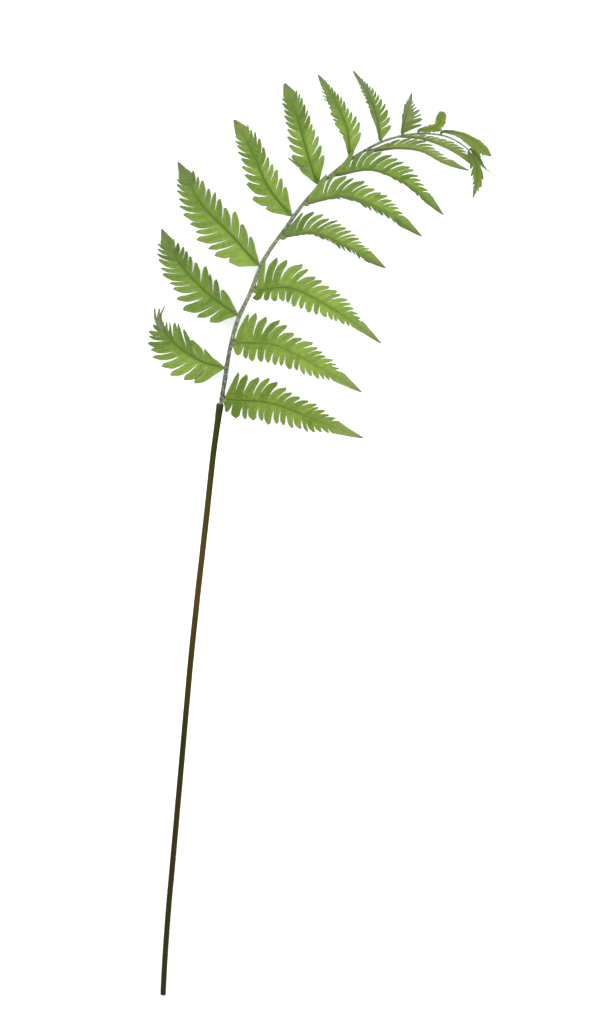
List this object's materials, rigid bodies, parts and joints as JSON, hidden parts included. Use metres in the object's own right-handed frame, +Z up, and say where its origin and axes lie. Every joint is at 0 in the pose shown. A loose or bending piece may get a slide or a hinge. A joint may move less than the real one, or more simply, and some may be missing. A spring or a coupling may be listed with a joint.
{
  "type": "bracken frond",
  "caption": "Fern-like bracken frond lying flat: a slim arching stem with long, deep-cut, tapering leaves along both sides.",
  "frame": {"origin": "middle of the bounding box, on the surface that the frond lies on", "axes": "+Y along the frond from its cut end to its tip, +Z up from the surface, +X to the right, the side that the tip leans to"},
  "size_m": [0.3452, 0.9276, 0.0653],
  "materials": {
    "stalk": "smooth, satin olive brown",
    "rachis": "matt grey, finely speckled",
    "blade": "matt yellow-green leaf"
  },
  "bodies": {
    "root": {"stalk": "stalk", "rachis": "rachis", "pinna_left_01": "blade", "pinna_left_02": "blade", "pinna_left_03": "blade", "pinna_left_04": "blade", "pinna_left_05": "blade", "pinna_left_06": "blade", "pinna_left_07": "blade", "pinna_left_08": "blade", "pinna_left_09": "blade", "pinna_left_10": "blade", "pinna_right_01": "blade", "pinna_right_02": "blade", "pinna_right_03": "blade", "pinna_right_04": "blade", "pinna_right_05": "blade", "pinna_right_06": "blade", "pinna_right_07": "blade", "pinna_right_08": "blade", "pinna_tip_01": "blade", "pinna_tip_02": "blade"}
  },
  "joints": []
}
